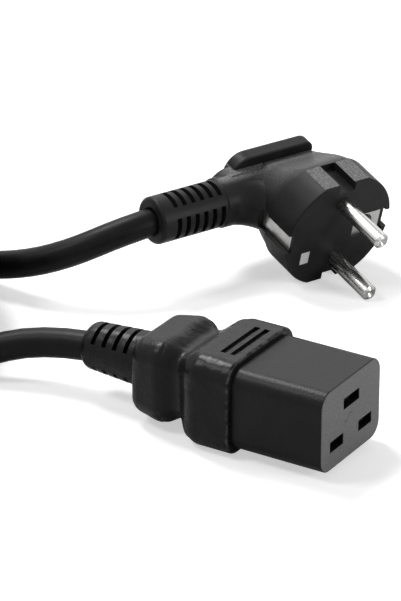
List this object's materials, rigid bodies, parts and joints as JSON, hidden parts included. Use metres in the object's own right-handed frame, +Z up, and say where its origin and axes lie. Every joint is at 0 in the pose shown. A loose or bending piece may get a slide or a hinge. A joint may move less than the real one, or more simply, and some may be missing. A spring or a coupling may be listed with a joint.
{
  "type": "c19 power connector",
  "caption": "Moulded appliance-inlet connector with rectangular slots, on a black flexible cord with an angled earthed mains plug at its far end.",
  "frame": {"origin": "bottom centre of the connector (nose and grip, without its cord and plug), on the surface that it lies on", "axes": "+X out of the connector's mating face, +Y across its wide side, +Z up"},
  "size_m": [0.2244, 0.1789, 0.0358],
  "materials": {
    "shell": "hard moulded insert, fine spark-eroded texture",
    "grip": "soft moulded compound, satin",
    "cord_sheath": "smooth flexible sheath",
    "contact_metal": "rolled strip, bright",
    "pin_metal": "nickel-plated, turned",
    "earth_metal": "plated strip",
    "bridge_plastic": "pale hard plastic",
    "core_brown": "insulated core, brown",
    "core_blue": "insulated core, blue",
    "core_green_yellow": "insulated core, green with a yellow stripe"
  },
  "bodies": {
    "root": {"connector_nose": "shell", "connector_grip": "grip", "line_contact": "contact_metal", "neutral_contact": "contact_metal", "earth_contact": "contact_metal", "connector_line_core": "core_brown", "connector_neutral_core": "core_blue", "connector_earth_core": "core_green_yellow", "cord_at_connector": "cord_sheath", "cord_at_plug": "cord_sheath", "cord_coil": "cord_sheath", "plug_body": "grip", "pin_bridge": "bridge_plastic", "line_pin": "pin_metal", "neutral_pin": "pin_metal", "earth_strip": "earth_metal", "earth_sleeve": "earth_metal", "plug_line_core": "core_brown", "plug_neutral_core": "core_blue", "plug_earth_core": "core_green_yellow"}
  },
  "joints": []
}
